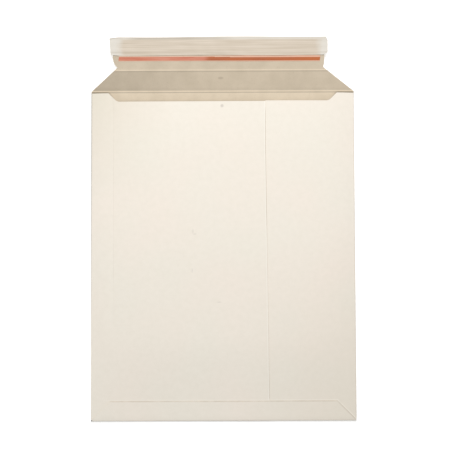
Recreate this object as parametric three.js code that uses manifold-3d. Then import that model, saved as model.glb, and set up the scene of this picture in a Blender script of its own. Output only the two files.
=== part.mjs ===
// Solid-board envelope, empty and open, lying on its address side with the seam side up.
// Millimetres. X runs across the envelope, +Y towards the closing flap, +Z up off the table.
// The origin is the middle of the front panel's outer face.
import * as THREE from "three";
import { mergeVertices } from "three/addons/utils/BufferGeometryUtils.js";
import Module from "manifold-3d";

const wasm = await Module();
wasm.setup();

// Board and how it is folded
const board = 0.6;
const foldInsideRadius = 0.3;
const glueBite = 0.05;
const creaseHeight = 0.2;
const creaseHalfWidth = 1.2;
const creaseGap = 0.3;

// Body
const bodyWidth = 250;
const bodyHeight = 312;
const seamFromLeftFold = 165.5;
const seamLap = 20;
const lapEasing = 60;
const bottomFlapHeight = 18.5;
const sideScoreFromFold = 19.5;
const sideScoreDepth = 0.12;
const sideScoreHalfWidth = 0.7;

// How far the empty back panel springs off the front, and how it does
const gape = 3.8;
const gapeSquareness = 6;
const gapeRise = 80;

// Thumb notch in the back panels' top edge
const tabWidth = 16.5;
const tabSetback = 2;
const notchDepth = 10.3;
const notchStepAtSeam = 0.6;
const notchCornerRadius = 6;

// Closing flap, measured from its crease along the board
const flapRestAngle = 10;
const secondCreaseAt = 19.7;
const secondCreaseBend = 4.5;
const neckAt = 22.8;
const neckLeft = 99.8;
const neckRight = 95.6;
const shoulderEndAt = 33;
const sealLeft = 104.2;
const sealRight = 96.8;
const flapLength = 50.6;
const flapEndCornerRadius = 1.5;

// Opening strip and closing strip on the flap's inner face
const laminateGap = 0.1;
const tearTapeToLiner = 0.9;
const tearTapeWidth = 4.1;
const tearTapeThickness = 0.12;
const stripLeft = 98.6;
const stripRight = 93.6;
const adhesiveWidth = 12;
const adhesiveThickness = 0.12;
const linerPastEnd = 0.8;
const linerWidth = 17.4;
const linerThickness = 0.1;
const linerOverhang = 3;
const linerSkew = 1.8;
const linerRipple = 0.12;
const linerRippleLength = 46;
const linerEndLift = 0.5;
const linerEndLiftLength = 10;

// Places worked out from the sizes above
const foldMidRadius = foldInsideRadius + board / 2;
const foldAxisX = bodyWidth / 2 - foldMidRadius - board / 2;
const foldAxisZ = board / 2 + foldMidRadius;
const bottomY = -bodyHeight / 2;
const creaseY = bodyHeight / 2;
const seamX = -bodyWidth / 2 + seamFromLeftFold;
const hiddenEdgeX = seamX - seamLap;
const lapRise = board - glueBite;
const panelFootY = bottomY + 2 * foldMidRadius + board;
const foldSteps = 8;
const panelStep = 8;
const sideScoreX = -bodyWidth / 2 + sideScoreFromFold;
const leftPanelX = [
  ...spreadBy(-foldAxisX, sideScoreX - sideScoreHalfWidth, panelStep),
  sideScoreX,
  ...spreadBy(sideScoreX + sideScoreHalfWidth, seamX, panelStep),
];
const linerFrom = flapLength + linerPastEnd - linerWidth;
const adhesiveFrom = linerFrom + (linerWidth - adhesiveWidth) / 2;
const tearTapeFrom = linerFrom - tearTapeToLiner - tearTapeWidth;

// Evenly spaced values from one end to the other, both included.
function spread(from, to, steps) {
  return Array.from({ length: steps + 1 }, (_, i) => THREE.MathUtils.lerp(from, to, i / steps));
}

// The same, with steps of about a wanted length.
function spreadBy(from, to, step) {
  return spread(from, to, Math.max(1, Math.round(Math.abs(to - from) / step)));
}

// A closed sheet of even thickness about rows of points on its middle surface.
// Each point has the way its outer face looks; along a row crossed with along the rows looks that way too.
function sheet(rows, thickness) {
  const across = rows[0].length;
  const positions = [];
  for (const side of [0.5, -0.5]) {
    for (const point of rows.flat()) {
      positions.push(...point.at.clone().addScaledVector(point.facing, side * thickness).toArray());
    }
  }
  const vertex = (side, i, j) => (side * rows.length + i) * across + j;
  const index = [];
  const quad = (a, b, c, d) => index.push(a, b, c, a, c, d);
  const lastRow = rows.length - 1;
  const last = across - 1;
  for (let i = 0; i < lastRow; i++) {
    for (let j = 0; j < last; j++) {
      quad(vertex(0, i, j), vertex(0, i, j + 1), vertex(0, i + 1, j + 1), vertex(0, i + 1, j));
      quad(vertex(1, i, j), vertex(1, i + 1, j), vertex(1, i + 1, j + 1), vertex(1, i, j + 1));
    }
    quad(vertex(0, i, 0), vertex(0, i + 1, 0), vertex(1, i + 1, 0), vertex(1, i, 0));
    quad(vertex(0, i, last), vertex(1, i, last), vertex(1, i + 1, last), vertex(0, i + 1, last));
  }
  for (let j = 0; j < last; j++) {
    quad(vertex(0, 0, j), vertex(1, 0, j), vertex(1, 0, j + 1), vertex(0, 0, j + 1));
    quad(vertex(0, lastRow, j), vertex(0, lastRow, j + 1), vertex(1, lastRow, j + 1), vertex(1, lastRow, j));
  }
  const geometry = new THREE.BufferGeometry();
  geometry.setAttribute("position", new THREE.Float32BufferAttribute(positions, 3));
  geometry.setIndex(index);
  return geometry;
}

// A flat outline extruded between two heights.
function prism(outline, fromZ, toZ) {
  const depth = toZ - fromZ;
  const geometry = new THREE.ExtrudeGeometry(outline, { depth, bevelEnabled: false, curveSegments: 8 });
  return geometry.translate(0, 0, fromZ);
}

function toSolid(geometry) {
  const bare = geometry.clone();
  bare.deleteAttribute("normal");
  bare.deleteAttribute("uv");
  const merged = mergeVertices(bare, 1e-4);
  return new wasm.Manifold(
    new wasm.Mesh({
      numProp: 3,
      vertProperties: merged.attributes.position.array,
      triVerts: new Uint32Array(merged.index.array),
    }),
  );
}

function toGeometry(solid) {
  const made = solid.getMesh();
  const geometry = new THREE.BufferGeometry();
  geometry.setAttribute("position", new THREE.BufferAttribute(made.vertProperties, 3));
  geometry.setIndex(new THREE.BufferAttribute(made.triVerts, 1));
  geometry.computeVertexNormals();
  return geometry;
}

// Height of a pressed crease's bead at a distance from its middle.
function creaseBead(distance) {
  const share = Math.min(1, Math.abs(distance) / creaseHalfWidth);
  return (creaseHeight * (1 + Math.cos(Math.PI * share))) / 2;
}

// Clear height inside the pocket. It is closed to the fold's own radius at the sides and the glued bottom,
// and the back panel springs up between them, square-shouldered, as a creased board does.
function pocketHeight(x, y) {
  const across = 1 - Math.min(1, Math.abs(x) / foldAxisX) ** gapeSquareness;
  const along = THREE.MathUtils.smoothstep(y, bottomY, bottomY + gapeRise);
  return 2 * foldInsideRadius + gape * across * along;
}

// How far the left back panel is lifted where it climbs on to the right one.
function lapLift(x) {
  return lapRise * THREE.MathUtils.smoothstep(x, hiddenEdgeX - lapEasing, hiddenEdgeX);
}

// Height of the back panels' middle surface above the table.
function backZ(x, y) {
  return board + pocketHeight(x, y) + board / 2;
}

// The same for the left panel, with its lap and the faint score beside its fold, which fades towards the
// glued bottom.
function leftPanelZ(x, y) {
  const pressed = x === sideScoreX ? sideScoreDepth * THREE.MathUtils.smoothstep(y, bottomY, creaseY) : 0;
  return backZ(x, y) + lapLift(x) - pressed;
}

// One row across the wrapper at height y: the right back panel from its edge under the lap, the right
// fold, the front panel, the left fold, and the first of the left back panel.
function wrapperRow(y) {
  const up = new THREE.Vector3(0, 0, 1);
  const down = new THREE.Vector3(0, 0, -1);
  const row = [];
  for (const x of spreadBy(hiddenEdgeX, foldAxisX, panelStep)) {
    row.push({ at: new THREE.Vector3(x, y, backZ(x, y)), facing: up });
  }
  row.push(...foldArc(1, y));
  const raised = creaseBead(creaseY - y);
  const beadEndX = foldAxisX - 2 * creaseHalfWidth;
  row.push({ at: new THREE.Vector3(foldAxisX, y, board / 2), facing: down });
  row.push({ at: new THREE.Vector3(beadEndX, y, board / 2 + raised), facing: down });
  row.push({ at: new THREE.Vector3(-beadEndX, y, board / 2 + raised), facing: down });
  row.push({ at: new THREE.Vector3(-foldAxisX, y, board / 2), facing: down });
  row.push(...foldArc(-1, y));
  for (const x of leftPanelX.slice(0, 2)) {
    row.push({ at: new THREE.Vector3(x, y, leftPanelZ(x, y)), facing: up });
  }
  return row;
}

// The points of a side fold between its flat ends: down round the right one, or up round the left one.
function foldArc(side, y) {
  return spread(Math.PI / 2, -Math.PI / 2, foldSteps).slice(1, -1).map((turn) => {
    const facing = new THREE.Vector3(side * Math.cos(turn), 0, side * Math.sin(turn));
    const axis = new THREE.Vector3(side * foldAxisX, y, foldAxisZ);
    return { at: axis.addScaledVector(facing, foldMidRadius), facing };
  });
}

// The left back panel, which climbs on to the right one and is glued there. Its free edge is the seam.
function leftPanelRow(y) {
  const up = new THREE.Vector3(0, 0, 1);
  return leftPanelX.map((x) => ({ at: new THREE.Vector3(x, y, leftPanelZ(x, y)), facing: up }));
}

function foldedBody() {
  const stations = [
    ...spreadBy(panelFootY, bottomY + gapeRise, panelStep),
    ...spread(creaseY - 2 * notchDepth, creaseY - creaseHalfWidth, 2),
    ...spread(creaseY - creaseHalfWidth, creaseY - creaseGap / 2, 5).slice(1),
  ];
  const wrapper = toSolid(sheet(stations.map(wrapperRow), board));
  const leftPanel = toSolid(sheet(stations.map(leftPanelRow), board));
  return wrapper.add(leftPanel).subtract(mouthCut()).add(bottomFlap());
}

// Bottom flap: turned up round the panels' feet and glued over the back. One row up the board at x.
function bottomFlapRow(x) {
  const overSeam = lapRise * (1 - THREE.MathUtils.smoothstep(x, seamX, seamX + panelStep));
  const lift = x < seamX ? lapLift(x) : overSeam;
  const topZ = (y) => 2 * board + pocketHeight(x, y) + lift + board / 2 - glueBite;
  const radius = (topZ(bottomY) - board / 2) / 2;
  const turnY = bottomY + radius + board / 2;
  const down = new THREE.Vector3(0, 0, -1);
  const up = new THREE.Vector3(0, 0, 1);
  const row = [{ at: new THREE.Vector3(x, bottomY + bottomFlapHeight, board / 2), facing: down }];
  for (const turn of spread(0, Math.PI, foldSteps)) {
    const facing = new THREE.Vector3(0, -Math.sin(turn), -Math.cos(turn));
    const axis = new THREE.Vector3(x, turnY, board / 2 + radius);
    row.push({ at: axis.addScaledVector(facing, radius), facing });
  }
  for (const y of spread(turnY, bottomY + bottomFlapHeight, 4).slice(1)) {
    row.push({ at: new THREE.Vector3(x, y, topZ(y)), facing: up });
  }
  return row;
}

function bottomFlap() {
  const foldEndX = foldAxisX + foldMidRadius;
  const stations = [
    ...spreadBy(foldEndX, seamX, panelStep / 2),
    ...spreadBy(seamX, -foldEndX, panelStep).slice(1),
  ];
  const mitred = new THREE.Shape();
  const mitreStartY = bottomY + board;
  mitred.moveTo(-bodyWidth / 2, bottomY - board);
  mitred.lineTo(bodyWidth / 2, bottomY - board);
  mitred.lineTo(bodyWidth / 2, mitreStartY);
  mitred.lineTo(bodyWidth / 2 - bottomFlapHeight, mitreStartY + bottomFlapHeight);
  mitred.lineTo(-bodyWidth / 2 + bottomFlapHeight, mitreStartY + bottomFlapHeight);
  mitred.lineTo(-bodyWidth / 2, mitreStartY);
  const trim = toSolid(prism(mitred, -board, gape + 6 * board));
  return toSolid(sheet(stations.map(bottomFlapRow), board)).intersect(trim);
}

// What the die cuts from the back panels at the mouth: the tabs' setback, and the notch with its
// sloped ends and round inner corners. Its floor steps at the seam, where one panel lies over the other.
function mouthCut() {
  const outside = bodyWidth / 2 + board;
  const tabY = creaseY - tabSetback;
  const tabX = bodyWidth / 2 - tabWidth;
  const leftFloorY = creaseY - notchDepth;
  const rightFloorY = leftFloorY + notchStepAtSeam;
  const cornerReach = notchCornerRadius * Math.tan(Math.PI / 8);
  const diagonal = cornerReach * Math.SQRT1_2;
  const outline = new THREE.Shape();
  outline.moveTo(-outside, creaseY + board);
  outline.lineTo(-outside, tabY);
  outline.lineTo(-tabX, tabY);
  const leftCornerX = -tabX + tabY - leftFloorY;
  outline.lineTo(leftCornerX - diagonal, leftFloorY + diagonal);
  outline.quadraticCurveTo(leftCornerX, leftFloorY, leftCornerX + cornerReach, leftFloorY);
  outline.lineTo(seamX, leftFloorY);
  outline.lineTo(seamX, rightFloorY);
  const rightCornerX = tabX - tabY + rightFloorY;
  outline.lineTo(rightCornerX - cornerReach, rightFloorY);
  outline.quadraticCurveTo(rightCornerX, rightFloorY, rightCornerX + diagonal, rightFloorY + diagonal);
  outline.lineTo(tabX, tabY);
  outline.lineTo(outside, tabY);
  outline.lineTo(outside, creaseY + board);
  return toSolid(prism(outline, foldAxisZ, gape + 6 * board));
}

// The flap's outline: shoulders that slope in from the body's full width to a neck just past the second
// crease, then a sealing end that flares a little wider than the neck.
function flapOutline() {
  const outline = new THREE.Shape();
  outline.moveTo(-bodyWidth / 2, 0);
  outline.lineTo(bodyWidth / 2, 0);
  outline.lineTo(neckRight, neckAt);
  outline.quadraticCurveTo(sealRight, neckAt + (shoulderEndAt - neckAt) / 3, sealRight, shoulderEndAt);
  outline.lineTo(sealRight, flapLength - flapEndCornerRadius);
  outline.quadraticCurveTo(sealRight, flapLength, sealRight - flapEndCornerRadius, flapLength);
  outline.lineTo(-sealLeft + flapEndCornerRadius, flapLength);
  outline.quadraticCurveTo(-sealLeft, flapLength, -sealLeft, flapLength - flapEndCornerRadius);
  outline.lineTo(-sealLeft, shoulderEndAt);
  outline.quadraticCurveTo(-sealLeft, neckAt + (shoulderEndAt - neckAt) / 3, -neckLeft, neckAt);
  return outline;
}

// The flap's board, with half of the first crease's bead at its root and the whole second bead, past
// which the sealing end lies flatter.
function flapBoard() {
  const beadTo = creaseHalfWidth;
  const stations = [
    ...spread(creaseGap / 2, beadTo, 5),
    ...spread(secondCreaseAt - beadTo, secondCreaseAt + beadTo, 10),
    flapLength + board,
  ];
  const fullBend = THREE.MathUtils.degToRad(secondCreaseBend);
  const rows = stations.map((y) => {
    const bend = fullBend * THREE.MathUtils.smoothstep(y, secondCreaseAt - beadTo, secondCreaseAt + beadTo);
    const facing = new THREE.Vector3(0, Math.sin(bend), Math.cos(bend));
    const drop = Math.tan(fullBend) * Math.max(0, y - secondCreaseAt);
    const z = creaseBead(y) + creaseBead(y - secondCreaseAt) - drop;
    return [-bodyWidth / 2, bodyWidth / 2].map((x) => ({ at: new THREE.Vector3(x, y, z), facing }));
  });
  const lowest = -Math.tan(fullBend) * flapLength - board;
  return toSolid(sheet(rows, board)).intersect(toSolid(prism(flapOutline(), lowest, 2 * board)));
}

// A flat strip laid across the sealing end's inner face, as far from the first crease as it says.
function strip(left, right, fromY, width, thickness) {
  const geometry = new THREE.BoxGeometry(left + right, width, thickness);
  const underside = board / 2 + laminateGap;
  const middleY = fromY + width / 2 - secondCreaseAt;
  return geometry.translate((right - left) / 2, middleY, underside + thickness / 2);
}

// Release paper over the adhesive: longer than the board is wide, rippled along its length, lifted at both
// free ends and cut a little askew at the left.
function liner() {
  const rest = board / 2 + 2 * laminateGap + adhesiveThickness + linerRipple + linerThickness / 2;
  const left = -sealLeft - linerOverhang;
  const right = sealRight + linerOverhang;
  const up = new THREE.Vector3(0, 0, 1);
  const rows = spread(0, 1, 4).map((share) => {
    const y = linerFrom + share * linerWidth - secondCreaseAt;
    const start = left + linerSkew * (1 - share);
    return spreadBy(start, right, linerRippleLength / 8).map((x) => {
      const ripple = linerRipple * Math.sin((2 * Math.PI * x) / linerRippleLength + 2 * share);
      const nearEnd = 1 - Math.min(1, Math.min(x - start, right - x) / linerEndLiftLength);
      const z = rest + ripple + linerEndLift * nearEnd ** 2;
      return { at: new THREE.Vector3(x, y, z), facing: up };
    });
  });
  return sheet(rows, linerThickness);
}

function part(name, geometry, material) {
  const mesh = new THREE.Mesh(geometry, material);
  mesh.name = name;
  return mesh;
}

const whiteLinedBoard = new THREE.MeshStandardMaterial({ color: 0xeee8da, roughness: 0.85, metalness: 0 });
const greyBoard = new THREE.MeshStandardMaterial({ color: 0xc9b9a3, roughness: 0.9, metalness: 0 });
const orangeFilm = new THREE.MeshStandardMaterial({ color: 0xc96a40, roughness: 0.4, metalness: 0 });
const clearAdhesive = new THREE.MeshStandardMaterial({ color: 0xd8c8a4, roughness: 0.3, metalness: 0 });
const releasePaper = new THREE.MeshStandardMaterial({ color: 0xdcd3c2, roughness: 0.55, metalness: 0 });

// The strips lie on the sealing end, which turns down a little at the second crease.
const sealingEnd = new THREE.Group();
sealingEnd.position.y = secondCreaseAt;
sealingEnd.rotation.x = -THREE.MathUtils.degToRad(secondCreaseBend);
sealingEnd.add(
  part(
    "tear_tape",
    strip(stripLeft, stripRight, tearTapeFrom, tearTapeWidth, tearTapeThickness),
    orangeFilm,
  ),
  part(
    "adhesive_strip",
    strip(stripLeft, stripRight, adhesiveFrom, adhesiveWidth, adhesiveThickness),
    clearAdhesive,
  ),
  part("release_liner", liner(), releasePaper),
);

// The open flap rises a little from its crease, so its pieces share one turned group.
const flap = new THREE.Group();
flap.position.set(0, creaseY, board / 2);
flap.rotation.x = THREE.MathUtils.degToRad(flapRestAngle);
flap.add(part("closure_flap", toGeometry(flapBoard()), greyBoard), sealingEnd);

const envelope = new THREE.Group();
envelope.add(part("envelope_body", toGeometry(foldedBody()), whiteLinedBoard), flap);

export default envelope;
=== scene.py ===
import math

import bpy
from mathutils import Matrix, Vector


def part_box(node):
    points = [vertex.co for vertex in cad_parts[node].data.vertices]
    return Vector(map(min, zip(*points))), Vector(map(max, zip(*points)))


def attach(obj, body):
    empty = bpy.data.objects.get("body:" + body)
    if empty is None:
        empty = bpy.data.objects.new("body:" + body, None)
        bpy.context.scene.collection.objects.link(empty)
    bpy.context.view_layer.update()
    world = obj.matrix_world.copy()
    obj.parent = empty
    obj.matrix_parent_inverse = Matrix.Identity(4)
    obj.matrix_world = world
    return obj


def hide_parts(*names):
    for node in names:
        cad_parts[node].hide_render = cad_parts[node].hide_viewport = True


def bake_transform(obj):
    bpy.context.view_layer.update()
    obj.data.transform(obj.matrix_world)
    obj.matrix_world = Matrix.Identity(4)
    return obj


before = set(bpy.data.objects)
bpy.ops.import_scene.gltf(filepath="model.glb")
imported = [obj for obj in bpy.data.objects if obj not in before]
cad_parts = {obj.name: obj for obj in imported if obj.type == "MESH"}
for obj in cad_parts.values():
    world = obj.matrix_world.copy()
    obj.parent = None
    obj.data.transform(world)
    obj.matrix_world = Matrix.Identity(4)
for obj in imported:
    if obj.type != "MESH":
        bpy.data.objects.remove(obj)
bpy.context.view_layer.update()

# The view: from 0.9 m above the envelope, leaning 2 degrees, as it was photographed.
camera_lean = math.radians(2.19)
camera_roll = math.radians(-0.21)
bpy.ops.object.camera_add(location=(0.0017, -0.006, 0.9), rotation=(camera_lean, 0, camera_roll))
camera = bpy.context.object
camera.name = "camera"
camera.data.sensor_width = 36
camera.data.lens = 75.91
bpy.context.scene.camera = camera


# The body: one blank of 0.6 mm solid board, white-lined outside and grey-brown inside. It is folded
# round both sides, lapped and glued along the back seam, and closed by the mitred bottom flap. The
# board's own shape comes from the solid. Its sprung back is given the slight waves of thin board.
board = 0.0006
body_low, body_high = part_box("envelope_body")
fold_axis_z = 0.0009
fold_axis_x = body_high.x - fold_axis_z
seam_x = 0.0405
score_x = -0.1055
bottom_flap_y = -0.1375


def merged_copy(node, name):
    piece = bpy.data.objects.new(name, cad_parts[node].data.copy())
    bpy.context.collection.objects.link(piece)
    bpy.ops.object.select_all(action="DESELECT")
    piece.select_set(True)
    bpy.context.view_layer.objects.active = piece
    bpy.ops.object.mode_set(mode="EDIT")
    bpy.ops.mesh.select_all(action="SELECT")
    bpy.ops.mesh.customdata_custom_splitnormals_clear()
    bpy.ops.mesh.remove_doubles(threshold=1e-6)
    bpy.ops.mesh.dissolve_limited(angle_limit=math.radians(0.2), use_dissolve_boundaries=False)
    bpy.ops.object.mode_set(mode="OBJECT")
    piece.data.materials.clear()
    return piece


def cut_across(piece, axis, places):
    bpy.ops.object.mode_set(mode="EDIT")
    for place in places:
        point = Vector((0, 0, 0))
        point[axis] = place
        normal = Vector((0, 0, 0))
        normal[axis] = 1
        bpy.ops.mesh.select_all(action="SELECT")
        bpy.ops.mesh.bisect(plane_co=point, plane_no=normal)
    bpy.ops.object.mode_set(mode="OBJECT")


def eased(value, start, end):
    t = min(1, max(0, (value - start) / (end - start)))
    return t * t * (3 - 2 * t)


# Rows of edges every 8 mm let the back panels wave and the seam's line bend.
first_cut_y = -0.07
cut_spacing = 0.008
cut_count = 26
blank = merged_copy("envelope_body", "envelope_blank")
cut_across(blank, 1, [first_cut_y + cut_spacing * i for i in range(cut_count)])

# The back is free to wave away from its folds, the bottom flap and the mouth, where it is held.
held_x, free_x = 0.122, 0.085
held_below_y, free_above_y = -0.135, -0.09
held_above_y, free_below_y = 0.14, 0.08
back_panels_z = 0.001
back_panels = blank.vertex_groups.new(name="back_panels")
for vertex in blank.data.vertices:
    x, y, z = vertex.co
    if z > back_panels_z:
        loose = eased(abs(x), held_x, free_x)
        loose *= eased(y, held_below_y, free_above_y) * eased(y, held_above_y, free_below_y)
        back_panels.add([vertex.index], loose, "REPLACE")
waves = bpy.data.textures.new("board_waves", "CLOUDS")
waves.noise_scale = 0.11
waves.noise_depth = 0
spring = blank.modifiers.new("board_waves", "DISPLACE")
spring.texture = waves
spring.texture_coords = "LOCAL"
spring.direction = "Z"
spring.strength = 0.0016
spring.mid_level = 0.5
spring.vertex_group = "back_panels"
bpy.ops.object.modifier_apply(modifier=spring.name)

# The lap was glued a little askew, so its edge leans to the right on its way down. The side score lies
# 1.9 mm further in than the solid has it, from the notch down to where it fades out.
lean_top = 0.11
lean_bottom = -0.13
seam_lean = 0.0025
score_shift = 0.0019
score_half_width = 0.0009
score_top = 0.14
edge_reach = 0.0002
under_panel_z = 0.0011


def seam_shift(y):
    return seam_lean * max(0, lean_top - y) / (lean_top - lean_bottom)


for vertex in blank.data.vertices:
    x, y, z = vertex.co
    if abs(x - seam_x) < edge_reach and z > under_panel_z:
        vertex.co.x += seam_shift(y)
    elif abs(x - score_x) < score_half_width and z > board and y < score_top:
        vertex.co.x += score_shift * eased(y, -0.12, -0.06)

# The die leaves the lap's edge sloping, so its brown core shows as a fine line down the seam, from 20 mm
# below the mouth and fainter towards the bottom.
core_top = 0.135
core_width = 0.00028
core_fade = 0.00014
same_row = 0.00005
lap_edge = []
for vertex in blank.data.vertices:
    x, y, z = vertex.co
    if abs(x - seam_x - seam_shift(y)) < edge_reach and z > 2 * board and y < core_top:
        lap_edge.append(vertex)
for vertex in lap_edge:
    beside = [other.co.z for other in lap_edge if abs(other.co.y - vertex.co.y) < same_row]
    if vertex.co.z > max(beside) - 0.0001:
        vertex.co.x -= core_width - core_fade * eased(vertex.co.y, 0.05, 0)


# The blank's finishes, told apart by where each face lies: the white liner outside, the bare grey-brown
# board inside, and the raw core wherever the die has cut it.
def colour(hex_code):
    channels = [int(hex_code[i : i + 2], 16) / 255 for i in (1, 3, 5)]
    return [c / 12.92 if c <= 0.04045 else ((c + 0.055) / 1.055) ** 2.4 for c in channels] + [1]


def add(tree, kind, settings=None, inputs=None):
    made = tree.nodes.new("ShaderNode" + kind)
    for name, value in (settings or {}).items():
        setattr(made, name, value)
    for name, value in (inputs or {}).items():
        if isinstance(value, bpy.types.NodeSocket):
            tree.links.new(value, made.inputs[name])
        else:
            made.inputs[name].default_value = value
    return made


def new_material(name, roughness, specular):
    material = bpy.data.materials.new(name)
    material.use_nodes = True
    surface = material.node_tree.nodes["Principled BSDF"]
    surface.inputs["Roughness"].default_value = roughness
    surface.inputs["Specular IOR Level"].default_value = specular
    return material, material.node_tree, surface


# White liner: bleached, lightly calendered pulp. Its formation shows as faint clouds about 5 mm across,
# its tone drifts a little between cream and pink over a hand's width, and its fibres are too fine to
# show, so they are drawn 0.5 mm wide.
white_liner, tree, surface = new_material("white_lined_board", 0.62, 0.3)
place = add(tree, "TexCoord").outputs["Object"]
where = add(tree, "SeparateXYZ", None, {0: place})
drift = add(tree, "TexNoise", None, {"Vector": place, "Scale": 1 / 0.07, "Detail": 1.0})
tone = add(tree, "Mix", {"data_type": "RGBA"}, {
    0: drift.outputs["Fac"],
    6: colour("#f1ede0"),
    7: colour("#f7ebdf"),
})
clouds = add(tree, "TexNoise", None, {"Vector": place, "Scale": 1 / 0.005, "Detail": 3.0, "Roughness": 0.6})
cloud_share = add(tree, "MapRange", None, {0: clouds.outputs["Fac"], 1: 0.35, 2: 0.7, 3: 0.0, 4: 0.2})
clouded = add(tree, "Mix", {"data_type": "RGBA"}, {
    0: cloud_share.outputs[0],
    6: tone.outputs[2],
    7: colour("#e6dfd0"),
})

# Painted shade darkens it towards two corners: the left one at the mouth and the right one at the bottom.
left_side = add(tree, "MapRange", None, {0: where.outputs["X"], 1: -0.045, 2: -0.125})
mouth_end = add(tree, "MapRange", None, {0: where.outputs["Y"], 1: 0.05, 2: 0.15, 3: 0.0, 4: 0.42})
left_corner = add(tree, "Math", {"operation": "MULTIPLY"}, {
    0: left_side.outputs[0],
    1: mouth_end.outputs[0],
})
right_side = add(tree, "MapRange", None, {0: where.outputs["X"], 1: 0.02, 2: 0.125})
bottom_end = add(tree, "MapRange", None, {0: where.outputs["Y"], 1: 0.03, 2: -0.15, 3: 0.0, 4: 0.26})
right_corner = add(tree, "Math", {"operation": "MULTIPLY"}, {
    0: right_side.outputs[0],
    1: bottom_end.outputs[0],
})
corner_shade_share = add(tree, "Math", {"operation": "ADD"}, {
    0: left_corner.outputs[0],
    1: right_corner.outputs[0],
})
corner_painted_shade = add(tree, "Mix", {"data_type": "RGBA"}, {
    0: corner_shade_share.outputs[0],
    6: clouded.outputs[2],
    7: colour("#d6cdb8"),
})

# The marks from here on lie on the back only. A painted highlight runs as a pale line beside the seam and
# another above the bottom flap. That flap's right mitre runs at 45 degrees, so 0.707 gives the distance.
off_front = add(tree, "MapRange", None, {0: where.outputs["Z"], 1: 0.0007, 2: 0.0011})
below_mouth = add(tree, "MapRange", None, {0: where.outputs["Y"], 1: 0.1552, 2: 0.1550})
on_back = add(tree, "Math", {"operation": "MULTIPLY"}, {0: off_front.outputs[0], 1: below_mouth.outputs[0]})
lean = add(tree, "MapRange", None, {
    0: where.outputs["Y"],
    1: lean_top,
    2: lean_bottom,
    3: 0.0,
    4: seam_lean,
})
upright = add(tree, "Math", {"operation": "SUBTRACT"}, {0: where.outputs["X"], 1: lean.outputs[0]})
beside_seam = add(tree, "Math", {"operation": "SUBTRACT"}, {0: upright.outputs[0], 1: seam_x - 0.0008})
off_seam = add(tree, "Math", {"operation": "ABSOLUTE"}, {0: beside_seam.outputs[0]})
on_seam = add(tree, "MapRange", None, {0: off_seam.outputs[0], 1: 0.0006, 2: 0.0003, 3: 0.0, 4: 0.45})
above_flap = add(tree, "MapRange", None, {
    0: where.outputs["Y"],
    1: bottom_flap_y + 0.0001,
    2: bottom_flap_y + 0.0009,
})
seam_share = add(tree, "Math", {"operation": "MULTIPLY"}, {0: on_seam.outputs[0], 1: above_flap.outputs[0]})
above_edge = add(tree, "Math", {"operation": "SUBTRACT"}, {0: where.outputs["Y"], 1: bottom_flap_y})
slant = add(tree, "Math", {"operation": "ADD"}, {0: where.outputs["X"], 1: where.outputs["Y"]})
past_mitre = add(tree, "Math", {"operation": "MULTIPLY_ADD"}, {0: slant.outputs[0], 1: 0.707, 2: 0.0217})
off_flap = add(tree, "Math", {"operation": "MAXIMUM"}, {0: above_edge.outputs[0], 1: past_mitre.outputs[0]})
highlight_line_offset = 0.0011
off_highlight_line = add(tree, "Math", {"operation": "SUBTRACT"}, {0: off_flap.outputs[0], 1: highlight_line_offset})
from_highlight_line = add(tree, "Math", {"operation": "ABSOLUTE"}, {0: off_highlight_line.outputs[0]})
mitre_start, mitre_end = -0.113, -0.103
past_left_mitre = add(tree, "MapRange", None, {0: where.outputs["X"], 1: mitre_start, 2: mitre_end})
on_highlight_line = add(tree, "MapRange", None, {0: from_highlight_line.outputs[0], 1: 0.0007, 2: 0.0002, 3: 0.0, 4: 0.4})
flap_highlight_share = add(tree, "Math", {"operation": "MULTIPLY"}, {
    0: on_highlight_line.outputs[0],
    1: past_left_mitre.outputs[0],
})
highlight_share = add(tree, "Math", {"operation": "MAXIMUM"}, {
    0: seam_share.outputs[0],
    1: flap_highlight_share.outputs[0],
})
highlight_on_back = add(tree, "Math", {"operation": "MULTIPLY"}, {
    0: highlight_share.outputs[0],
    1: on_back.outputs[0],
})
edge_painted_highlight = add(tree, "Mix", {"data_type": "RGBA"}, {
    0: highlight_on_back.outputs[0],
    6: corner_painted_shade.outputs[2],
    7: colour("#fffaf0"),
})

# Painted shade darkens the side score, and the board against the bottom flap's top edge and its right
# mitre. It comes and goes every centimetre or so.
from_flap = add(tree, "Math", {"operation": "ABSOLUTE"}, {0: off_flap.outputs[0]})
left_clear = add(tree, "MapRange", None, {
    0: where.outputs["X"],
    1: mitre_start,
    2: mitre_end,
    3: 0.001,
    4: 0.0,
})
from_edge = add(tree, "Math", {"operation": "ADD"}, {0: from_flap.outputs[0], 1: left_clear.outputs[0]})
from_score = add(tree, "Math", {"operation": "SUBTRACT"}, {0: where.outputs["X"], 1: score_x + score_shift})
score_gap = add(tree, "Math", {"operation": "ABSOLUTE"}, {0: from_score.outputs[0]})
score_end = add(tree, "MapRange", None, {0: where.outputs["Y"], 1: -0.06, 2: -0.03, 3: 0.01, 4: 0.0005})
score_only = add(tree, "Math", {"operation": "MULTIPLY_ADD"}, {
    0: score_gap.outputs[0],
    1: 0.6,
    2: score_end.outputs[0],
})
from_line = add(tree, "Math", {"operation": "MINIMUM"}, {0: from_edge.outputs[0], 1: score_only.outputs[0]})
patches = add(tree, "TexNoise", None, {"Vector": place, "Scale": 1 / 0.012, "Detail": 2.0})
patch_share = add(tree, "MapRange", None, {0: patches.outputs["Fac"], 1: 0.35, 2: 0.6, 3: 0.06, 4: 0.3})
patch_on_back = add(tree, "Math", {"operation": "MULTIPLY"}, {
    0: patch_share.outputs[0],
    1: on_back.outputs[0],
})
in_line = add(tree, "MapRange", None, {0: from_line.outputs[0], 1: 0.0007, 2: 0.0003})
painted_shade_share = add(tree, "Math", {"operation": "MULTIPLY"}, {
    0: in_line.outputs[0],
    1: patch_on_back.outputs[0],
})
painted_shade_mix = add(tree, "Mix", {"data_type": "RGBA"}, {
    0: painted_shade_share.outputs[0],
    6: edge_painted_highlight.outputs[2],
    7: colour("#b3a794"),
})
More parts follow.
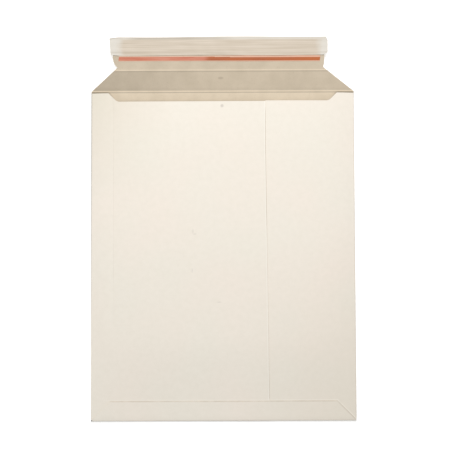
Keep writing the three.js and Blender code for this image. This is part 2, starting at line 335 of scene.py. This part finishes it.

# Painted shade on the folds' rounded sides, strongest on the left fold towards the mouth, and a painted
# dark spot for the shade in a pinhole at the bottom left corner.
left_fold = add(tree, "MapRange", None, {0: where.outputs["X"], 1: -0.1242, 2: -0.1247})
left_fold_shade = add(tree, "MapRange", None, {0: where.outputs["Y"], 1: -0.09, 2: 0.09, 3: 0.03, 4: 0.95})
left_fold_shade_share = add(tree, "Math", {"operation": "MULTIPLY"}, {0: left_fold.outputs[0], 1: left_fold_shade.outputs[0]})
right_fold_shade_share = add(tree, "MapRange", None, {0: where.outputs["X"], 1: 0.1241, 2: 0.1246, 3: 0.0, 4: 0.15})
fold_shade_share = add(tree, "Math", {"operation": "ADD"}, {0: left_fold_shade_share.outputs[0], 1: right_fold_shade_share.outputs[0]})
flat_place = add(tree, "CombineXYZ", None, {"X": where.outputs["X"], "Y": where.outputs["Y"]})
from_pinhole = add(tree, "VectorMath", {"operation": "DISTANCE"}, {
    0: flat_place.outputs[0],
    1: (-0.1243, -0.1553, 0),
})
pinhole = add(tree, "MapRange", None, {
    0: from_pinhole.outputs["Value"],
    1: 0.0010,
    2: 0.0005,
    3: 0.0,
    4: 1.0,
})
dark_share = add(tree, "Math", {"operation": "MAXIMUM"}, {0: fold_shade_share.outputs[0], 1: pinhole.outputs[0]})
fold_and_pinhole_shade = add(tree, "Math", {"operation": "MULTIPLY"}, {
    0: dark_share.outputs[0],
    1: on_back.outputs[0],
})
fold_painted_shade = add(tree, "Mix", {"data_type": "RGBA"}, {
    0: fold_and_pinhole_shade.outputs[0],
    6: painted_shade_mix.outputs[2],
    7: colour("#5f5446"),
})

# The dot of the glue that once held the flap, then small dents and scuffs, drawn darker, the dents'
# darkness as painted shade: each one's place and its half length and width.
marks = (
    (-0.0006, 0.1413, 0.0017, 0.0017), (-0.0285, 0.0222, 0.0010, 0.0026), (-0.0268, 0.0198, 0.0020, 0.0009),
    (-0.0292, -0.0146, 0.0008, 0.0024), (-0.0038, -0.0444, 0.0024, 0.0008),
)
nearest = None
for at_x, at_y, half_x, half_y in marks:
    centred = add(tree, "VectorMath", {"operation": "SUBTRACT"}, {
        0: flat_place.outputs[0],
        1: (at_x, at_y, 0),
    })
    sized = add(tree, "VectorMath", {"operation": "DIVIDE"}, {
        0: centred.outputs[0],
        1: (half_x, half_y, 1),
    })
    distance = add(tree, "VectorMath", {"operation": "LENGTH"}, {0: sized.outputs[0]})
    if nearest is None:
        from_dot = nearest = distance
        continue
    nearest = add(tree, "Math", {"operation": "MINIMUM"}, {
        0: nearest.outputs["Value"],
        1: distance.outputs["Value"],
    })
dent_shade_and_scuff_share = add(tree, "MapRange", None, {0: nearest.outputs[0], 1: 1.2, 2: 0.4, 3: 0.0, 4: 0.3})
dot_share = add(tree, "MapRange", None, {0: from_dot.outputs["Value"], 1: 1.15, 2: 0.6, 3: 0.0, 4: 0.72})
mark_share = add(tree, "Math", {"operation": "MAXIMUM"}, {
    0: dent_shade_and_scuff_share.outputs[0],
    1: dot_share.outputs[0],
})
mark_on_back = add(tree, "Math", {"operation": "MULTIPLY"}, {
    0: mark_share.outputs[0],
    1: on_back.outputs[0],
})
marked = add(tree, "Mix", {"data_type": "RGBA"}, {
    0: mark_on_back.outputs[0],
    6: fold_painted_shade.outputs[2],
    7: colour("#d0c8be"),
})

# The fibres' relief.
fibres = add(tree, "TexNoise", None, {
    "Vector": place,
    "Scale": 1 / 0.0005,
    "Detail": 4.0,
    "Roughness": 0.7,
})
relief = add(tree, "Bump", None, {"Height": fibres.outputs["Fac"], "Distance": 0.00003, "Strength": 0.5})
tree.links.new(marked.outputs[2], surface.inputs["Base Color"])
tree.links.new(relief.outputs[0], surface.inputs["Normal"])

# Bare inner face: unbleached recycled board, matt, clouded over about 14 mm and flecked with darker
# fibres about 0.8 mm long.
grey_board, tree, surface = new_material("grey_board", 0.85, 0.2)
place = add(tree, "TexCoord").outputs["Object"]
where = add(tree, "SeparateXYZ", None, {0: place})
clouds = add(tree, "TexNoise", None, {
    "Vector": place,
    "Scale": 1 / 0.014,
    "Detail": 3.0,
    "Roughness": 0.55,
})
tone = add(tree, "Mix", {"data_type": "RGBA"}, {
    0: clouds.outputs["Fac"],
    6: colour("#c0b29c"),
    7: colour("#d7c8b2"),
})
flecks = add(tree, "TexNoise", None, {
    "Vector": place,
    "Scale": 1 / 0.0008,
    "Detail": 2.0,
    "Roughness": 0.6,
})
dark_share = add(tree, "MapRange", None, {0: flecks.outputs["Fac"], 1: 0.62, 2: 0.75, 3: 0.0, 4: 0.5})
flecked = add(tree, "Mix", {"data_type": "RGBA"}, {
    0: dark_share.outputs[0],
    6: tone.outputs[2],
    7: colour("#a8967e"),
})

# Painted light and shade along Y, at places in mm: painted shade inside the pocket, painted light on the
# strip that the notch uncovers, a painted highlight on the crest of each crease and painted shade in the
# groove before it.
painted_light_along_y = (
    (143.6, 0.66), (145.0, 0.84), (146.4, 1.02), (148.5, 1.16), (154.3, 1.20), (154.8, 0.86), (155.3, 0.90),
    (155.6, 1.26), (156.2, 1.30), (156.7, 1.02), (157.8, 0.93), (160.0, 0.99), (174.0, 1.00), (174.3, 0.84),
    (174.8, 0.86), (175.2, 1.14), (175.8, 1.16), (176.6, 1.00),
)
tones_from, tones_to = 143, 177
along = add(tree, "MapRange", None, {0: where.outputs["Y"], 1: tones_from / 1000, 2: tones_to / 1000})
painted_light_ramp = add(tree, "ValToRGB", None, {0: along.outputs[0]})
stops = painted_light_ramp.color_ramp.elements
stops.remove(stops[1])
stops[0].position = 0
for number, (at_y, shade) in enumerate(painted_light_along_y):
    stop = stops[0] if number == 0 else stops.new((at_y - tones_from) / (tones_to - tones_from))
    stop.color = (shade / 2, shade / 2, shade / 2, 1)
painted_light_factor = add(tree, "Math", {"operation": "MULTIPLY"}, {0: painted_light_ramp.outputs[0], 1: 2.0})

# The panel between the creases is darker towards its left side: painted shade.
left_painted_shade = add(tree, "MapRange", None, {0: where.outputs["X"], 1: -0.115, 2: -0.01, 3: 0.83, 4: 1.0})
panel_middle_y = 0.1655
from_middle = add(tree, "Math", {"operation": "SUBTRACT"}, {0: where.outputs["Y"], 1: panel_middle_y})
off_middle = add(tree, "Math", {"operation": "ABSOLUTE"}, {0: from_middle.outputs[0]})
past_crease = add(tree, "MapRange", None, {0: off_middle.outputs[0], 1: 0.0086, 2: 0.0096})
panel_painted_shade = add(tree, "Mix", {"data_type": "FLOAT"}, {
    0: past_crease.outputs[0],
    2: left_painted_shade.outputs[0],
    3: 1.0,
})
painted_light_and_shade = add(tree, "Math", {"operation": "MULTIPLY"}, {
    0: painted_light_factor.outputs[0],
    1: panel_painted_shade.outputs[0],
})
toned = add(tree, "VectorMath", {"operation": "SCALE"}, {
    0: flecked.outputs[2],
    "Scale": painted_light_and_shade.outputs[0],
})

# Painted shadow darkens it where the tabs and the notch's slopes overhang it. The slopes lean out by 0.7 mm
# for each mm towards the flap.
across = add(tree, "Math", {"operation": "ABSOLUTE"}, {0: where.outputs["X"]})
slope_start = add(tree, "Math", {"operation": "MULTIPLY_ADD"}, {0: where.outputs["Y"], 1: -0.7, 2: 0.1078})
past_slope = add(tree, "Math", {"operation": "ADD"}, {0: across.outputs[0], 1: slope_start.outputs[0]})
overhang_painted_shadow = add(tree, "MapRange", None, {0: past_slope.outputs[0], 1: 0.1060, 2: 0.1095, 3: 0.0, 4: 0.62})
in_mouth = add(tree, "MapRange", None, {0: where.outputs["Y"], 1: 0.1556, 2: 0.1552})
painted_shade_share = add(tree, "Math", {"operation": "MULTIPLY"}, {0: overhang_painted_shadow.outputs[0], 1: in_mouth.outputs[0]})
painted_shade_mix = add(tree, "Mix", {"data_type": "RGBA"}, {
    0: painted_shade_share.outputs[0],
    6: toned.outputs[0],
    7: colour("#6f6250"),
})

# A spot of old tacking glue near the middle of that panel, 0.45 times as high as it is wide.
spot_x, spot_y, spot_squash = -0.0019, 0.1683, 0.45
spot_place = add(tree, "Mapping", None, {
    "Vector": place,
    "Location": (-spot_x, -spot_y / spot_squash, 0),
    "Scale": (1, 1 / spot_squash, 0),
})
from_spot = add(tree, "VectorMath", {"operation": "LENGTH"}, {0: spot_place.outputs[0]})
spot_share = add(tree, "MapRange", {"interpolation_type": "SMOOTHSTEP"}, {
    0: from_spot.outputs["Value"],
    1: 0.0034,
    2: 0.0016,
    3: 0.0,
    4: 0.5,
})
spotted = add(tree, "Mix", {"data_type": "RGBA"}, {
    0: spot_share.outputs[0],
    6: painted_shade_mix.outputs[2],
    7: colour("#aa9c88"),
})
relief = add(tree, "Bump", None, {"Height": flecks.outputs["Fac"], "Distance": 0.00005, "Strength": 0.6})
tree.links.new(spotted.outputs[2], surface.inputs["Base Color"])
tree.links.new(relief.outputs[0], surface.inputs["Normal"])

# Cut edge: the same pulp seen end on, a little darker. Its plies of about 0.1 mm are too fine to show, so
# they are drawn as bands 0.6 mm apart.
cut_edge, tree, surface = new_material("cut_board_edge", 0.9, 0.1)
place = add(tree, "TexCoord").outputs["Object"]
plies = add(tree, "TexWave", {"bands_direction": "Z"}, {
    "Vector": place,
    "Scale": 1 / 0.002,
    "Distortion": 2.0,
})
tone = add(tree, "Mix", {"data_type": "RGBA"}, {
    0: plies.outputs["Fac"],
    6: colour("#b5a58d"),
    7: colour("#cdbfa8"),
})
tree.links.new(tone.outputs[2], surface.inputs["Base Color"])

outside, inside, cut = range(3)
bottom_fold_reach = 0.004
front_panel_z = 0.00095
for material in (white_liner, grey_board, cut_edge):
    blank.data.materials.append(material)
for face in blank.data.polygons:
    x, y, z = face.center
    across, along, up = face.normal
    from_fold = math.hypot(abs(x) - fold_axis_x, z - fold_axis_z)
    if abs(x) > fold_axis_x and abs(along) < 0.5:
        face.material_index = outside if from_fold > board else inside
    elif abs(up) < 0.5:
        at_bottom_fold = along < -0.3 and y < body_low.y + bottom_fold_reach
        face.material_index = outside if at_bottom_fold else cut
    elif up > 0:
        face.material_index = inside if z < front_panel_z else outside
    else:
        face.material_index = outside if z < board / 2 else inside
bpy.ops.object.select_all(action="DESELECT")
blank.select_set(True)
bpy.context.view_layer.objects.active = blank
bpy.ops.object.shade_smooth_by_angle(angle=math.radians(35))
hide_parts("envelope_body")
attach(blank, "pocket")

# The closing flap: the same sheet beyond the first crease, bare side up and white side down, cut by the
# same die. A second crease divides it, and its bead stays as the solid has it.
flap = merged_copy("closure_flap", "closing_flap")
for material in (white_liner, grey_board, cut_edge):
    flap.data.materials.append(material)
for face in flap.data.polygons:
    up = face.normal.z
    face.material_index = cut if abs(up) < 0.7 else inside if up > 0 else outside
bpy.ops.object.shade_smooth_by_angle(angle=math.radians(35))
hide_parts("closure_flap")
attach(flap, "flap")

# First crease: the board is pressed to a bead where the front panel turns into the flap. The strip is one
# with both. White below, bare board above.
crease_y = 0.156
crease_length = 0.2478
half_strip = 0.0006
half_bend = 0.00015
bend_share = 0.8
bead_height = 0.0002
bead_half_width = 0.0012
over_board = 0.00002
rest_angle = math.radians(10)
bpy.ops.object.select_all(action="DESELECT")
bpy.ops.mesh.primitive_grid_add(x_subdivisions=2, y_subdivisions=40, size=1, location=(0, crease_y, 0))
crease = bpy.context.object
crease.name = "first_crease"
bpy.ops.object.mode_set(mode="EDIT")
bpy.ops.transform.resize(value=(crease_length, 2 * half_strip, 1))
bpy.ops.object.mode_set(mode="OBJECT")
bpy.ops.object.transform_apply(location=True, rotation=False, scale=False)
for vertex in crease.data.vertices:
    share = (vertex.co.y - crease_y) / half_strip
    along = half_bend * min(1, abs(share) / bend_share)
    if abs(share) > bend_share:
        along += (half_strip - half_bend) * (abs(share) - bend_share) / (1 - bend_share)
    along = math.copysign(along, share)
    bead = bead_height * (1 + math.cos(math.pi * along / bead_half_width)) / 2
    vertex.co.y = crease_y + along
    vertex.co.z = board + bead + max(0, along) * math.tan(rest_angle) + over_board
for material in (grey_board, white_liner, cut_edge):
    crease.data.materials.append(material)
bpy.ops.object.select_all(action="DESELECT")
crease.select_set(True)
bpy.context.view_layer.objects.active = crease
thickness = crease.modifiers.new("board", "SOLIDIFY")
thickness.thickness = board + 2 * over_board
thickness.offset = -1
thickness.material_offset = 1
thickness.material_offset_rim = 2
bpy.ops.object.modifier_apply(modifier=thickness.name)
bpy.ops.object.shade_smooth_by_angle(angle=math.radians(50))
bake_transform(crease)


# Tear tape: a 4 mm polypropylene film, orange, heat-laid on the sealing end so that it pulls the board
# open. Its edges are clear, and its tone runs from salmon at the left to a deeper orange.
sealing_tilt = math.radians(5.5)


def flat_strip(name, length, width, steps_along, steps_across):
    bpy.ops.object.select_all(action="DESELECT")
    bpy.ops.mesh.primitive_grid_add(x_subdivisions=steps_along, y_subdivisions=steps_across, size=1)
    strip = bpy.context.object
    strip.name = name
    bpy.ops.object.mode_set(mode="EDIT")
    bpy.ops.transform.resize(value=(length, width, 1))
    bpy.ops.object.mode_set(mode="OBJECT")
    return strip


def lay_on_sealing_end(strip, node, rise, thickness):
    low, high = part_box(node)
    strip.location = (low + high) / 2 + Vector((0, -math.sin(sealing_tilt), math.cos(sealing_tilt))) * rise
    strip.rotation_euler.x = sealing_tilt
    bpy.ops.object.transform_apply(location=True, rotation=True, scale=True)
    film = strip.modifiers.new("film", "SOLIDIFY")
    film.thickness = thickness
    film.offset = 0
    bpy.ops.object.modifier_apply(modifier=film.name)
    bpy.ops.object.shade_smooth_by_angle(angle=math.radians(50))


# With its clear edges the film is 5.6 mm wide. It cockles by 0.03 mm and lies as much lower at its edges.
# Its right end is drawn in by 0.9 mm, and both ends are torn a little unevenly.
tape_low, tape_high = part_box("tear_tape")
film_width = 0.0056
film_thickness = 0.0001
strip_end_x = 0.0955
tape = flat_strip("tear_tape_film", tape_high.x - tape_low.x, film_width, 120, 16)
for vertex in tape.data.vertices:
    x, y, z = vertex.co
    at_end = abs(x) > strip_end_x
    vertex.co.z += 0.00003 * math.sin(x / 0.0035 + 1.7 * math.sin(x / 0.021)) - 3.5 * y * y
    vertex.co.x += 0.0002 * math.sin(900 * y) * at_end - 0.0009 * eased(x, 0.05, 0.094)
lay_on_sealing_end(tape, "tear_tape", 0, film_thickness)

# The film was drawn unevenly: its orange lies in streaks about 2 cm long.
orange_film, tree, surface = new_material("orange_polypropylene_film", 0.38, 0.45)
place = add(tree, "TexCoord").outputs["Object"]
where = add(tree, "SeparateXYZ", None, {0: place})
streak_place = add(tree, "Mapping", None, {"Vector": place, "Scale": (45, 420, 2)})
streaks = add(tree, "TexNoise", None, {"Vector": streak_place.outputs[0], "Scale": 1.0, "Detail": 2.0})
streak_share = add(tree, "MapRange", None, {0: streaks.outputs["Fac"], 1: 0.38, 2: 0.64})
salmon = add(tree, "Mix", {"data_type": "RGBA"}, {
    0: streak_share.outputs[0],
    6: colour("#c46d4e"),
    7: colour("#cf8468"),
})
deep_orange = add(tree, "Mix", {"data_type": "RGBA"}, {
    0: streak_share.outputs[0],
    6: colour("#a84f0a"),
    7: colour("#b2560e"),
})
deeper = add(tree, "MapRange", {"interpolation_type": "SMOOTHSTEP"}, {
    0: where.outputs["X"],
    1: -0.019,
    2: -0.011,
})
right = add(tree, "MapRange", None, {0: where.outputs["X"], 1: 0.055, 2: 0.085, 3: 0.0, 4: 0.8})
core = add(tree, "Mix", {"data_type": "RGBA"}, {
    0: deeper.outputs[0],
    6: salmon.outputs[2],
    7: deep_orange.outputs[2],
})
core_right = add(tree, "Mix", {"data_type": "RGBA"}, {
    0: right.outputs[0],
    6: core.outputs[2],
    7: colour("#b95c10"),
})
tree.links.new(core_right.outputs[2], surface.inputs["Base Color"])

# The film's edges are clear, so the board shows through them, with a tint of orange on the right.
clear_edge, tree, surface = new_material("clear_film_edge", 0.4, 0.45)
place = add(tree, "TexCoord").outputs["Object"]
where = add(tree, "SeparateXYZ", None, {0: place})
shade = add(tree, "TexNoise", None, {"Vector": place, "Scale": 1 / 0.003, "Detail": 2.0})
untinted = add(tree, "Mix", {"data_type": "RGBA"}, {
    0: shade.outputs["Fac"],
    6: colour("#d8c2aa"),
    7: colour("#d3b69c"),
})
tinted = add(tree, "Mix", {"data_type": "RGBA"}, {
    0: shade.outputs["Fac"],
    6: colour("#dfb095"),
    7: colour("#d7a588"),
})
right = add(tree, "MapRange", None, {0: where.outputs["X"], 1: -0.02, 2: 0.02})
tone = add(tree, "Mix", {"data_type": "RGBA"}, {
    0: right.outputs[0],
    6: untinted.outputs[2],
    7: tinted.outputs[2],
})
tree.links.new(tone.outputs[2], surface.inputs["Base Color"])
tape.data.materials.append(orange_film)
tape.data.materials.append(clear_edge)
tape_middle = (tape_low.y + tape_high.y) / 2
orange_low = -0.00195
orange_high = 0.0018
orange_narrowing = 0.0006
for face in tape.data.polygons:
    narrowed = orange_high - orange_narrowing * eased(face.center.x, -0.02, 0.01)
    if not orange_low < face.center.y - tape_middle < narrowed:
        face.material_index = 1
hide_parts("tear_tape")
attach(tape, "flap")


# Sealing adhesive: a 12 mm band of clear tacky hot melt, rolled on across the sealing end and covered by
# the liner until the envelope is closed. Its edges and ends wander a little.
glue_low, glue_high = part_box("adhesive_strip")
glue_width = 0.012
glue_thickness = 0.0001
glue_edge_y = 0.0055
glue = flat_strip("adhesive_band", glue_high.x - glue_low.x, glue_width, 96, 6)
for vertex in glue.data.vertices:
    x, y, z = vertex.co
    at_edge = abs(y) > glue_edge_y
    at_end = abs(x) > strip_end_x
    vertex.co.y += at_edge * 0.00025 * math.sin(x / 0.0041 + 2 * math.sin(x / 0.013) + 40 * y)
    vertex.co.x += at_end * 0.0004 * math.sin(1100 * y)
    vertex.co.z += 0.00001 * math.sin(x / 0.0023) * math.cos(y / 0.0011)
lay_on_sealing_end(glue, "adhesive_strip", 0, glue_thickness)
hot_melt, tree, surface = new_material("clear_hot_melt", 0.25, 0.5)
place = add(tree, "TexCoord").outputs["Object"]
streaks = add(tree, "TexNoise", None, {"Vector": place, "Scale": 1 / 0.004, "Detail": 2.0})
tone = add(tree, "Mix", {"data_type": "RGBA"}, {
    0: streaks.outputs["Fac"],
    6: colour("#d9c8a6"),
    7: colour("#cdbb98"),
})
tree.links.new(tone.outputs[2], surface.inputs["Base Color"])
glue.data.materials.append(hot_melt)
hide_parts("adhesive_strip")
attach(glue, "flap")


# Release liner: siliconed glassine laid over the adhesive, cut longer than the board so that a finger can
# start it. It is loose along its edges and ends, with one corner turned over, one torn off and one nipped.
liner_low, liner_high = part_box("release_liner")
liner_length = liner_high.x - liner_low.x
liner_width = 0.0174
half_length = liner_length / 2
half_width = liner_width / 2
paper_thickness = 0.00006
paper_rise = -0.00025
liner = flat_strip("release_liner_paper", liner_length, liner_width, 208, 18)
turned_at = Vector((-half_length, half_width - 0.0011, 0))
turned_out = Vector((-0.0011, 0.0095, 0)).normalized()
torn_at = Vector((half_length - 0.0042, -half_width, 0))
torn_out = Vector((0.0021, -0.0042, 0)).normalized()
nipped_at = Vector((half_length - 0.0016, half_width, 0))
nipped_out = Vector((0.0034, 0.0016, 0)).normalized()
bpy.ops.object.mode_set(mode="EDIT")
bpy.ops.mesh.select_all(action="SELECT")
bpy.ops.mesh.bisect(plane_co=turned_at, plane_no=turned_out)
bpy.ops.mesh.select_all(action="SELECT")
bpy.ops.mesh.bisect(plane_co=torn_at, plane_no=torn_out, clear_outer=True)
bpy.ops.mesh.select_all(action="SELECT")
bpy.ops.mesh.bisect(plane_co=nipped_at, plane_no=nipped_out, clear_outer=True)
bpy.ops.object.mode_set(mode="OBJECT")

# Heights and lengths below are in metres: each sine's divisor is its wave's length over 2 pi.
ripple_height = 0.00022
fine_height = 0.00004
creep_height = 0.00003
end_lift = 0.0005
end_reach = 0.01
turned_gap = 0.00012
left_slant = 0.0011
left_narrowing = 0.0006
for vertex in liner.data.vertices:
    x, y, z = vertex.co
    across = y / half_width
    near_end = max(0, 1 - min(x + half_length, half_length - x) / end_reach)
    loose = abs(across) ** 3
    ripple = 0.5 + 0.5 * math.sin(x / 0.0073 + 2.1 * math.sin(x / 0.031) + 1.3 * across)
    fine = math.sin(x / 0.0027 + 3 * math.sin(x / 0.017) + 2 * across)
    creep = math.sin(y / 0.0011 + 1.5 * math.sin(x / 0.04) + 0.8 * math.sin(x / 0.011))
    vertex.co.z = ripple_height * loose * ripple + fine_height * fine + creep_height * creep
    vertex.co.z += end_lift * near_end**2
    beyond = (Vector((x, y, 0)) - turned_at).dot(turned_out)
    if beyond > 0:
        vertex.co -= 1.85 * beyond * turned_out
        vertex.co.z += turned_gap + 0.25 * beyond
    vertex.co.x += left_slant * (1 - across) / 2 * eased(x, -half_length + 0.02, -half_length)
    vertex.co.y += left_narrowing * (1 - across) / 2 * eased(x, -half_length + 0.016, -half_length)
    vertex.co.y += 0.0003 * across * math.sin(x / 0.023 + across) + 0.0001 * x / half_length
lay_on_sealing_end(liner, "release_liner", paper_rise, paper_thickness)

# The glassine is smooth and a little glossy, with fine streaks along it. Where it is stuck down the
# adhesive darkens it, the more so along the band's lower edge, and at its top left a darker streak runs 1.6
# mm below its top edge.
release_paper, tree, surface = new_material("siliconed_glassine", 0.45, 0.35)
place = add(tree, "TexCoord").outputs["Object"]
where = add(tree, "SeparateXYZ", None, {0: place})
streak_place = add(tree, "Mapping", None, {"Vector": place, "Scale": (18, 620, 1)})
streaks = add(tree, "TexNoise", None, {"Vector": streak_place.outputs[0], "Scale": 1.0, "Detail": 3.0})
streak_share = add(tree, "MapRange", None, {0: streaks.outputs["Fac"], 1: 0.32, 2: 0.68})
wetted = add(tree, "Mix", {"data_type": "RGBA"}, {
    0: streak_share.outputs[0],
    6: colour("#c7b9a5"),
    7: colour("#dacdbc"),
})
edge_noise = add(tree, "TexNoise", None, {"Vector": place, "Scale": 1 / 0.008, "Detail": 2.0})
ragged = add(tree, "Math", {"operation": "MULTIPLY_ADD"}, {
    0: edge_noise.outputs["Fac"],
    1: 0.012,
    2: -0.006,
})
from_middle = add(tree, "Math", {"operation": "ADD"}, {0: where.outputs["X"], 1: 0.0025})
reach = add(tree, "Math", {"operation": "ABSOLUTE"}, {0: from_middle.outputs[0]})
shifted = add(tree, "Math", {"operation": "ADD"}, {0: reach.outputs[0], 1: ragged.outputs[0]})
dry = add(tree, "MapRange", {"interpolation_type": "SMOOTHSTEP"}, {
    0: shifted.outputs[0],
    1: 0.0890,
    2: 0.0995,
})
dry_edge = add(tree, "MapRange", {"interpolation_type": "SMOOTHSTEP"}, {
    0: where.outputs["Y"],
    1: glue_high.y - 0.0006,
    2: glue_high.y + 0.001,
    3: 0.0,
    4: 0.8,
})
most_dry = add(tree, "Math", {"operation": "MAXIMUM"}, {0: dry.outputs[0], 1: dry_edge.outputs[0]})
paper = add(tree, "Mix", {"data_type": "RGBA"}, {
    0: most_dry.outputs[0],
    6: wetted.outputs[2],
    7: colour("#dcd6cb"),
})
low_edge = add(tree, "Math", {"operation": "SUBTRACT"}, {0: where.outputs["Y"], 1: glue_low.y})
from_low_edge = add(tree, "Math", {"operation": "ABSOLUTE"}, {0: low_edge.outputs[0]})
low_streak = add(tree, "MapRange", None, {
    0: from_low_edge.outputs[0],
    1: 0.0011,
    2: 0.0003,
    3: 0.0,
    4: 0.22,
})
off_top_streak = add(tree, "Math", {"operation": "SUBTRACT"}, {0: where.outputs["Y"], 1: liner_high.y - 0.0016})
from_top_streak = add(tree, "Math", {"operation": "ABSOLUTE"}, {0: off_top_streak.outputs[0]})
top_streak = add(tree, "MapRange", None, {
    0: from_top_streak.outputs[0],
    1: 0.0014,
    2: 0.0005,
    3: 0.0,
    4: 0.5,
})
on_left = add(tree, "MapRange", None, {0: where.outputs["X"], 1: 0.02, 2: -0.03})
off_end = add(tree, "MapRange", None, {0: where.outputs["X"], 1: -0.092, 2: -0.079})
top_streak_span = add(tree, "Math", {"operation": "MULTIPLY"}, {0: on_left.outputs[0], 1: off_end.outputs[0]})
left_streak = add(tree, "Math", {"operation": "MULTIPLY"}, {
    0: top_streak.outputs[0],
    1: top_streak_span.outputs[0],
})
shade_share = add(tree, "Math", {"operation": "MAXIMUM"}, {
    0: low_streak.outputs[0],
    1: left_streak.outputs[0],
})
shaded_paper = add(tree, "Mix", {"data_type": "RGBA"}, {
    0: shade_share.outputs[0],
    6: paper.outputs[2],
    7: colour("#a99b87"),
})
relief = add(tree, "Bump", None, {"Height": streaks.outputs["Fac"], "Distance": 0.0001, "Strength": 0.4})
tree.links.new(shaded_paper.outputs[2], surface.inputs["Base Color"])
tree.links.new(relief.outputs[0], surface.inputs["Normal"])
liner.data.materials.append(release_paper)
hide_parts("release_liner")
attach(liner, "flap")


# Floor and light: a pale table under a soft light above the flap's end, with a weak fill from the other.
table_z = -0.0002
bpy.ops.mesh.primitive_plane_add(size=6, location=(0, 0, table_z))
table = bpy.context.object
table.name = "table"
table_top, tree, surface = new_material("pale_table", 0.9, 0.0)
surface.inputs["Base Color"].default_value = (0.8, 0.8, 0.8, 1)
surface.inputs["Emission Color"].default_value = (1, 1, 1, 1)
surface.inputs["Emission Strength"].default_value = 0.42
table.data.materials.append(table_top)

world = bpy.data.worlds.new("room")
world.use_nodes = True
world.node_tree.nodes["Background"].inputs["Color"].default_value = (1, 1, 1, 1)
world.node_tree.nodes["Background"].inputs["Strength"].default_value = 0.29
bpy.context.scene.world = world


def soft_light(name, place, aim, size, power):
    bpy.ops.object.light_add(type="AREA", location=place)
    lamp = bpy.context.object
    lamp.name = name
    lamp.rotation_euler = (Vector(aim) - Vector(place)).to_track_quat("-Z", "Y").to_euler()
    lamp.data.size = size
    lamp.data.energy = power


soft_light("key", place=(0, 0.65, 1.126), aim=(0, 0.02, 0), size=0.7, power=13.8)
soft_light("fill", place=(-0.5, -0.9, 0.35), aim=(-0.05, -0.15, 0), size=0.6, power=0.8)

bpy.context.scene.view_settings.view_transform = "Standard"
